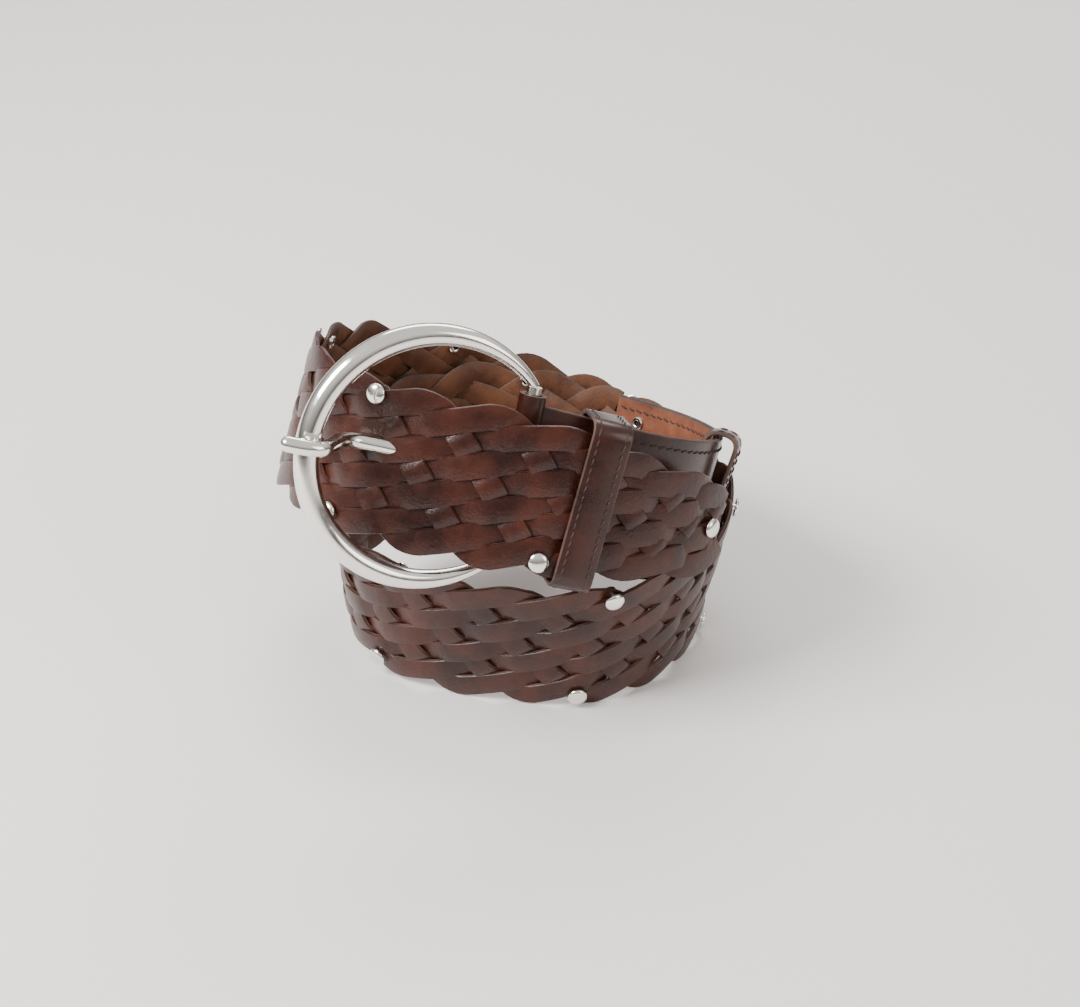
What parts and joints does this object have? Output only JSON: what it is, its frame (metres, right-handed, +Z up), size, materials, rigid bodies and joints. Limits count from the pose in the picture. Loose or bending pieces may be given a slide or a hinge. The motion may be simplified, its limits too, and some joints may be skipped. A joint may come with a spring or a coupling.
{
  "type": "braided belt",
  "caption": "Wide braided leather belt, rolled in two turns and fastened through a horn-shaped ring buckle, resting by itself.",
  "frame": {"origin": "bottom centre of the rolled belt's box, on the floor", "axes": "+Z up from the floor, the buckle's side faces -Y, +X to the viewer's right across the front"},
  "size_m": [0.1684, 0.1584, 0.1478],
  "materials": {
    "leather": "glossy dark red-brown smooth leather, dyed edges",
    "lining": "polished reddish-tan lining leather",
    "metal": "polished warm nickel plate"
  },
  "bodies": {
    "root": {"braided_band": "leather", "buckle_ring": "metal", "chape": "leather", "chape_lining": "lining", "keeper_front": "leather", "keeper_side": "leather", "prong": "metal", "rivet_lap_low": "metal", "rivet_lap_up": "metal", "rivet_low_1": "metal", "rivet_low_10": "metal", "rivet_low_2": "metal", "rivet_low_3": "metal", "rivet_low_4": "metal", "rivet_low_5": "metal", "rivet_low_6": "metal", "rivet_low_7": "metal", "rivet_low_8": "metal", "rivet_low_9": "metal", "rivet_tip": "metal", "rivet_up_1": "metal", "rivet_up_2": "metal", "rivet_up_3": "metal", "rivet_up_4": "metal", "rivet_up_5": "metal", "rivet_up_6": "metal", "rivet_up_7": "metal", "rivet_up_8": "metal", "rivet_up_9": "metal"}
  },
  "joints": []
}
